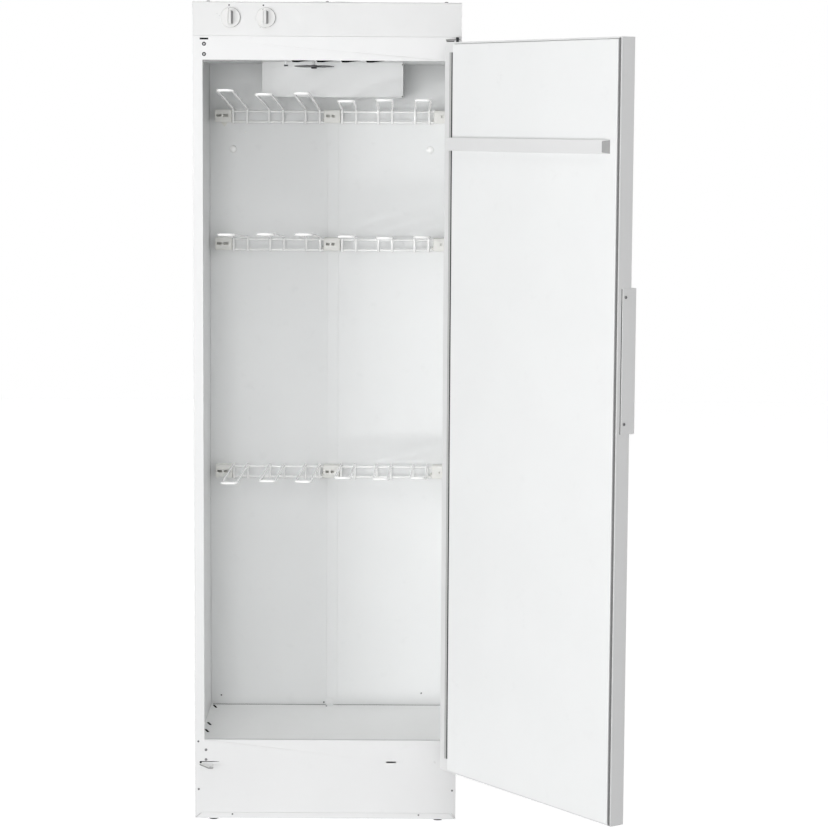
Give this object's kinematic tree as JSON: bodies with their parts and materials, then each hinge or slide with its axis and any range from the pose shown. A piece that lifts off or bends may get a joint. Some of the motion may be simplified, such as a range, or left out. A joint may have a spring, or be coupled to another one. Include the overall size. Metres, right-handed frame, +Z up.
{
  "type": "drying cabinet",
  "caption": "Tall white drying cabinet for clothes with an open hinged door, hanger racks inside, a heater box with a fan under the ceiling and two control knobs at the top left.",
  "frame": {"origin": "centre of the base pan's underside, 10 mm above the floor that the feet stand on", "axes": "+Z up, +Y from the door opening to the back, +X to the right as seen from the front"},
  "size_m": [0.9466, 1.0066, 1.867],
  "materials": {
    "outer_paint": "white powder coat, satin",
    "inner_paint": "white powder coat, satin",
    "zinc_steel": "zinc plated",
    "heater_steel": "stainless tube, heat-dulled",
    "white_plastic": "moulded, fine grain",
    "bracket_plastic": "moulded, light grey",
    "coated_wire": "white coated steel wire",
    "dark_plastic": "moulded, black-grey",
    "seal_rubber": "grey soft seal",
    "core_board": "stiff fibre core, raw",
    "magnet_ferrite": "sintered, dull"
  },
  "bodies": {
    "cabinet": {"front_frame": "outer_paint", "base_front_rail": "outer_paint", "control_panel": "outer_paint", "left_side_panel": "outer_paint", "right_side_panel": "outer_paint", "top_cover": "outer_paint", "back_panel_left": "inner_paint", "back_panel_right": "inner_paint", "back_centre_strip": "inner_paint", "inner_floor": "inner_paint", "inner_ceiling": "inner_paint", "duct_box": "inner_paint", "base_pan": "zinc_steel", "fan_motor": "zinc_steel", "exhaust_collar": "zinc_steel", "upper_hinge_plate": "zinc_steel", "lower_hinge_plate": "zinc_steel", "spare_hinge_plate": "zinc_steel", "upper_hinge_pin": "zinc_steel", "lower_hinge_pin": "zinc_steel", "heater_element": "heater_steel", "terminal_block": "white_plastic", "upper_bracket_left": "bracket_plastic", "upper_bracket_centre": "bracket_plastic", "upper_bracket_right": "bracket_plastic", "middle_bracket_left": "bracket_plastic", "middle_bracket_centre": "bracket_plastic", "middle_bracket_right": "bracket_plastic", "lower_bracket_left": "bracket_plastic", "lower_bracket_centre": "bracket_plastic", "lower_bracket_right": "bracket_plastic", "upper_rack_left": "coated_wire", "upper_rack_right": "coated_wire", "thermostat_bulb": "dark_plastic", "safety_cutout": "dark_plastic", "timer_unit": "dark_plastic", "program_switch": "dark_plastic", "cable_gland": "dark_plastic", "door_sensor": "dark_plastic"},
    "door": {"door_shell": "outer_paint", "door_liner": "inner_paint", "door_seal": "seal_rubber", "door_core": "core_board", "door_rail": "outer_paint", "door_handle": "outer_paint", "upper_hinge_bush": "white_plastic", "lower_hinge_bush": "white_plastic", "catch_magnet": "magnet_ferrite"},
    "timer_knob": {"timer_knob": "white_plastic"},
    "program_knob": {"program_knob": "white_plastic"},
    "fan_impeller": {"fan_impeller": "dark_plastic"},
    "middle_rack_left": {"middle_rack_left": "coated_wire"},
    "middle_rack_right": {"middle_rack_right": "coated_wire"},
    "lower_rack_left": {"lower_rack_left": "coated_wire"},
    "lower_rack_right": {"lower_rack_right": "coated_wire"},
    "foot_front_left": {"foot_front_left": "dark_plastic"},
    "foot_front_right": {"foot_front_right": "dark_plastic"},
    "foot_back_left": {"foot_back_left": "dark_plastic"},
    "foot_back_right": {"foot_back_right": "dark_plastic"}
  },
  "joints": [
    {"name": "door_hinge", "type": "hinge", "parent": "cabinet", "child": "door", "pos_m": [0.2875, -0.2685, 0.941], "axis": [0, 0, 1], "range_deg": [-126.2, 53.8]},
    {"name": "timer_turn", "type": "hinge", "parent": "cabinet", "child": "timer_knob", "pos_m": [-0.2133, -0.2415, 1.8103], "axis": [0, 1, 0], "range_deg": [0, 330]},
    {"name": "program_turn", "type": "hinge", "parent": "cabinet", "child": "program_knob", "pos_m": [-0.1356, -0.2415, 1.8103], "axis": [0, 1, 0], "range_deg": [0, 300]},
    {"name": "fan_spin", "type": "hinge", "parent": "cabinet", "child": "fan_impeller", "pos_m": [-0.034, -0.1185, 1.715], "axis": [0, 0, 1], "continuous": true},
    {"name": "middle_left_fold", "type": "hinge", "parent": "cabinet", "child": "middle_rack_left", "pos_m": [-0.1341, 0.2075, 1.3016], "axis": [-1, 0, 0], "range_deg": [0, 42]},
    {"name": "middle_right_fold", "type": "hinge", "parent": "cabinet", "child": "middle_rack_right", "pos_m": [0.126, 0.2075, 1.3016], "axis": [-1, 0, 0], "range_deg": [0, 42]},
    {"name": "lower_left_fold", "type": "hinge", "parent": "cabinet", "child": "lower_rack_left", "pos_m": [-0.1341, 0.2075, 0.7515], "axis": [-1, 0, 0], "range_deg": [0, 80]},
    {"name": "lower_right_fold", "type": "hinge", "parent": "cabinet", "child": "lower_rack_right", "pos_m": [0.126, 0.2075, 0.7515], "axis": [-1, 0, 0], "range_deg": [0, 80]},
    {"name": "foot_front_left_screw", "type": "hinge", "parent": "cabinet", "child": "foot_front_left", "pos_m": [-0.257, -0.2015, 0], "axis": [0, 0, 1], "continuous": true},
    {"name": "foot_front_right_screw", "type": "hinge", "parent": "cabinet", "child": "foot_front_right", "pos_m": [0.257, -0.2015, 0], "axis": [0, 0, 1], "continuous": true},
    {"name": "foot_back_left_screw", "type": "hinge", "parent": "cabinet", "child": "foot_back_left", "pos_m": [-0.257, 0.2015, 0], "axis": [0, 0, 1], "continuous": true},
    {"name": "foot_back_right_screw", "type": "hinge", "parent": "cabinet", "child": "foot_back_right", "pos_m": [0.257, 0.2015, 0], "axis": [0, 0, 1], "continuous": true}
  ]
}
